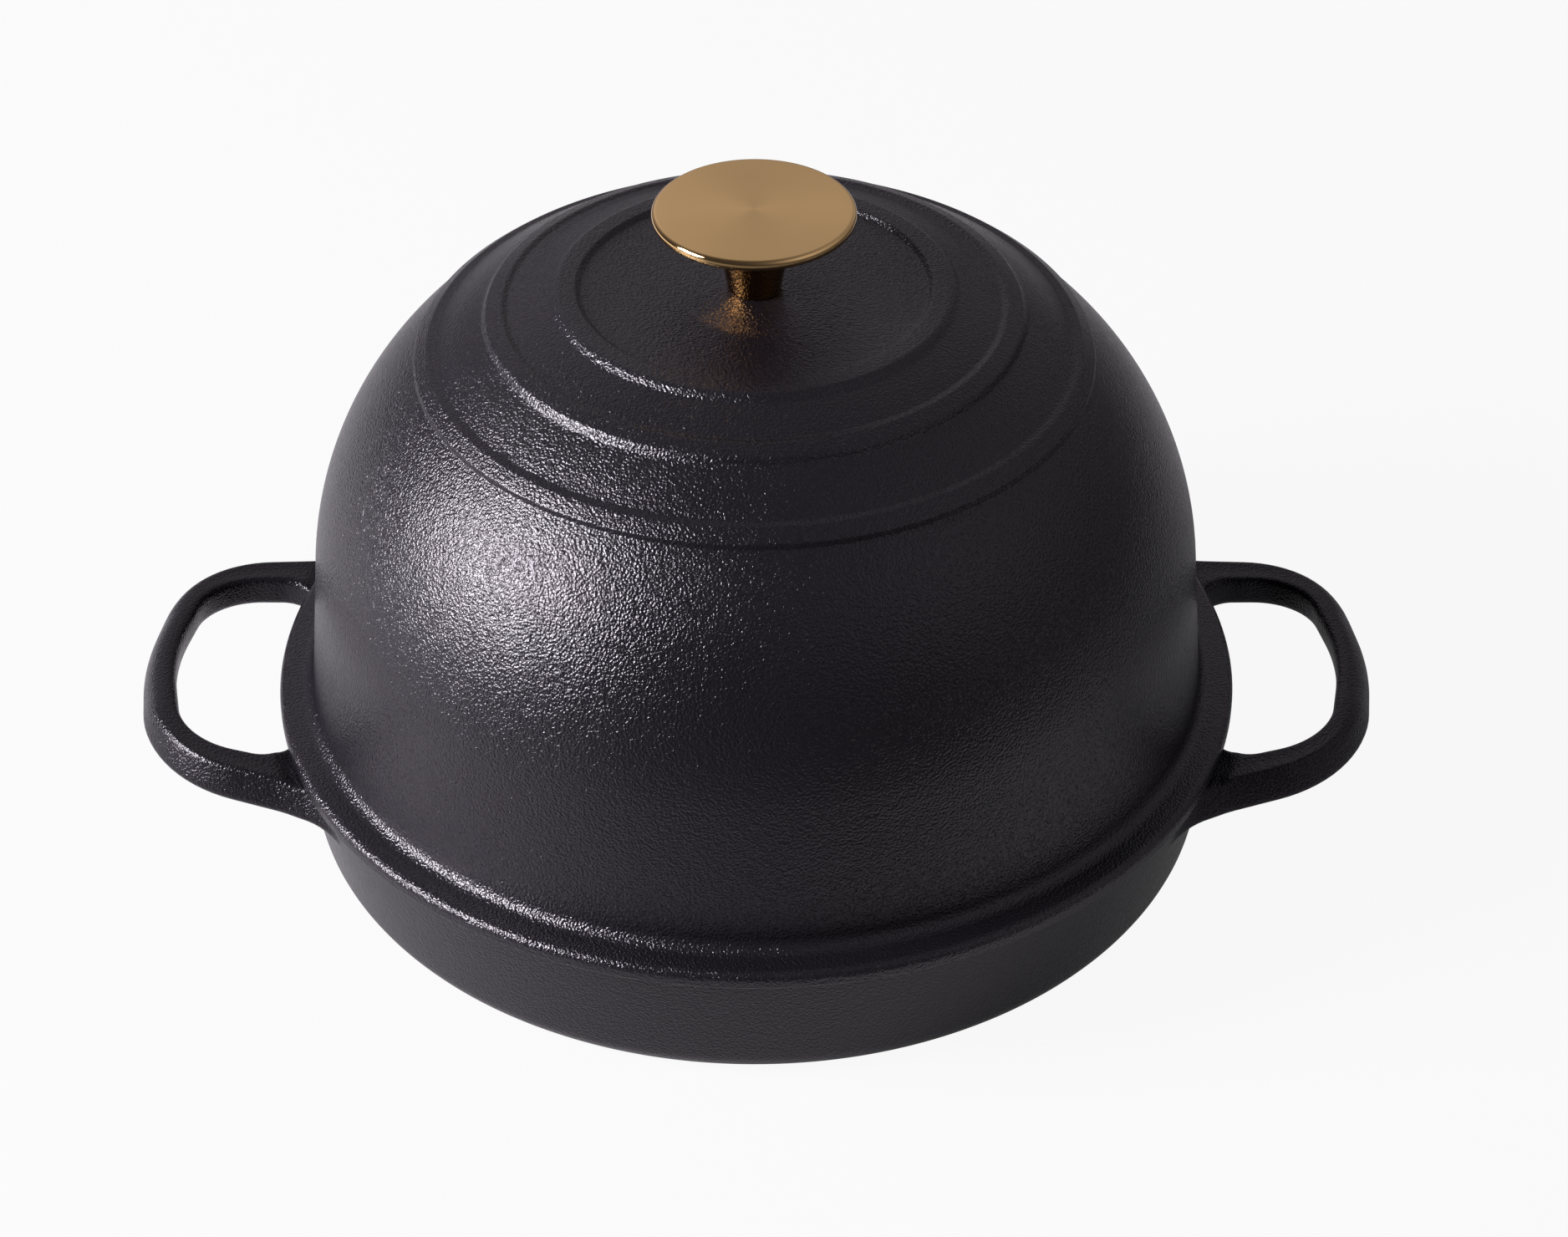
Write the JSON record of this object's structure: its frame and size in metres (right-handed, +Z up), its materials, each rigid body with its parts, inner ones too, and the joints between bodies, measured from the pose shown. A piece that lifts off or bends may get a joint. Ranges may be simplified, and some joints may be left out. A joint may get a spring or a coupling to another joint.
{
  "type": "covered bread baker",
  "caption": "Round covered baking pot: shallow pan with loop handles at its sides, tall domed lid with raised rings and a metal knob.",
  "frame": {"origin": "centre of the ring that the pan stands on, at the table", "axes": "+Z up through the knob, X through both handles, -Y towards the viewer of the picture"},
  "size_m": [0.3408, 0.264, 0.1857],
  "materials": {
    "pan_enamel": "satin black vitreous enamel with a fine pebbled surface, over cast iron",
    "lid_enamel": "satin black vitreous enamel with a fine pebbled surface, over cast iron",
    "knob_brass": "brushed and polished warm brass",
    "fastener_steel": "plain bright steel"
  },
  "bodies": {
    "pan": {"base_pan": "pan_enamel"},
    "lid": {"dome_lid": "lid_enamel", "knob": "knob_brass", "knob_screw": "fastener_steel", "flat_washer": "fastener_steel", "spring_washer": "fastener_steel"}
  },
  "joints": [
    {"name": "lid_lift", "type": "slide", "parent": "pan", "child": "lid", "axis": [0, 0, 1], "range_m": [0, 0.16]}
  ]
}
